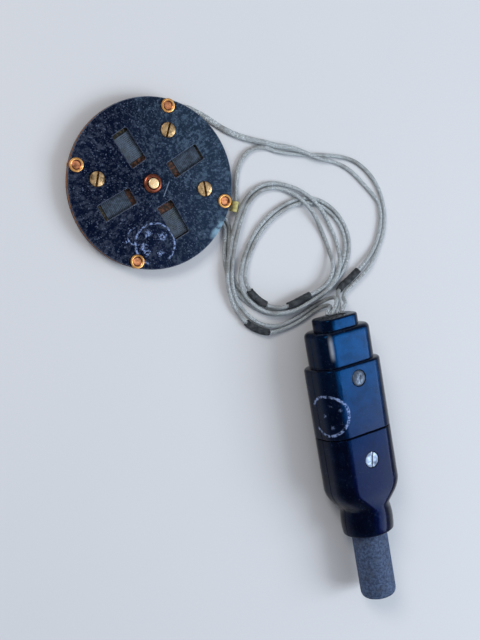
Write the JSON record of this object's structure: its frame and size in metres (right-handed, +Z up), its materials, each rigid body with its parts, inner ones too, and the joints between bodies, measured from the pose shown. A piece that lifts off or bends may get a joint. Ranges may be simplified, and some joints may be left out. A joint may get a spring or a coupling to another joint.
{
  "type": "key disc with twin leads and in-line connector",
  "caption": "Round laminated key disc with a sprung press button and wire-wound elements, wired by twin leads to an in-line pull-apart connector.",
  "frame": {"origin": "on the surface that the disc stands on, below the centre of the disc", "axes": "+Z up out of the disc's face, through the press button; +X towards the leads' side; +Y away from the connector"},
  "size_m": [0.1473, 0.2184, 0.0242],
  "materials": {
    "laminate": "black paper laminate, satin, worn and speckled",
    "fibre": "brown vulcanised fibre",
    "card": "brown card former, matte",
    "winding": "fine resistance wire, close wound, dull",
    "copper": "worn copper-coloured brass",
    "brass": "worn brass with dark tarnish",
    "steel": "plated steel, dull",
    "bakelite": "black moulded Bakelite, glossy, lightly scratched",
    "cotton": "grey braided cotton lead",
    "rubber": "dark slate rubber, matte",
    "grey_rubber": "aged grey rubber, matte and mottled",
    "thread": "pale yellow waxed thread"
  },
  "bodies": {
    "disc": {"front_plate": "laminate", "rim_ring": "fibre", "back_plate": "laminate", "element_card_1": "card", "element_winding_1": "winding", "edge_rivet_1": "copper", "solder_tag_1": "brass", "element_card_2": "card", "element_winding_2": "winding", "edge_rivet_2": "copper", "solder_tag_2": "brass", "element_card_3": "card", "element_winding_3": "winding", "edge_rivet_3": "copper", "solder_tag_3": "brass", "element_card_4": "card", "element_winding_4": "winding", "edge_rivet_4": "copper", "solder_tag_4": "brass", "cover_screw_1": "brass", "screw_nut_1": "brass", "cover_screw_2": "brass", "screw_nut_2": "brass", "cover_screw_3": "brass", "screw_nut_3": "brass", "centre_bush": "copper", "return_spring": "brass", "fixed_contact": "brass", "lead_strand_1": "cotton", "lead_strand_2": "cotton", "lead_strand_3": "cotton", "lead_strand_4": "cotton", "lead_sleeve_1": "rubber", "lead_sleeve_2": "rubber", "lead_sleeve_3": "rubber", "lead_sleeve_4": "rubber", "thread_binding": "thread", "socket_front_shell": "bakelite", "socket_rear_shell": "bakelite", "socket_screw": "steel", "socket_nut": "steel", "socket_block": "fibre", "socket_contact_1": "brass", "socket_contact_2": "brass", "socket_contact_3": "brass", "socket_contact_4": "brass", "lead_grommet": "rubber"},
    "button": {"press_button": "brass"},
    "plug_half": {"plug_front_shell": "bakelite", "plug_rear_shell": "bakelite", "plug_screw": "steel", "plug_nut": "steel", "plug_block": "fibre", "plug_pin_1": "brass", "plug_pin_2": "brass", "plug_pin_3": "brass", "plug_pin_4": "brass", "cable_stub": "grey_rubber"}
  },
  "joints": [
    {"name": "button_press", "type": "slide", "parent": "disc", "child": "button", "axis": [0, 0, -1], "range_m": [0, 0.0005], "stiffness_N_per_m": 800, "springref_m": -0.0003, "deforming": ["return_spring"]},
    {"name": "connector_pull", "type": "slide", "parent": "disc", "child": "plug_half", "axis": [0.1864, -0.9825, 0], "range_m": [0, 0.012]}
  ]
}
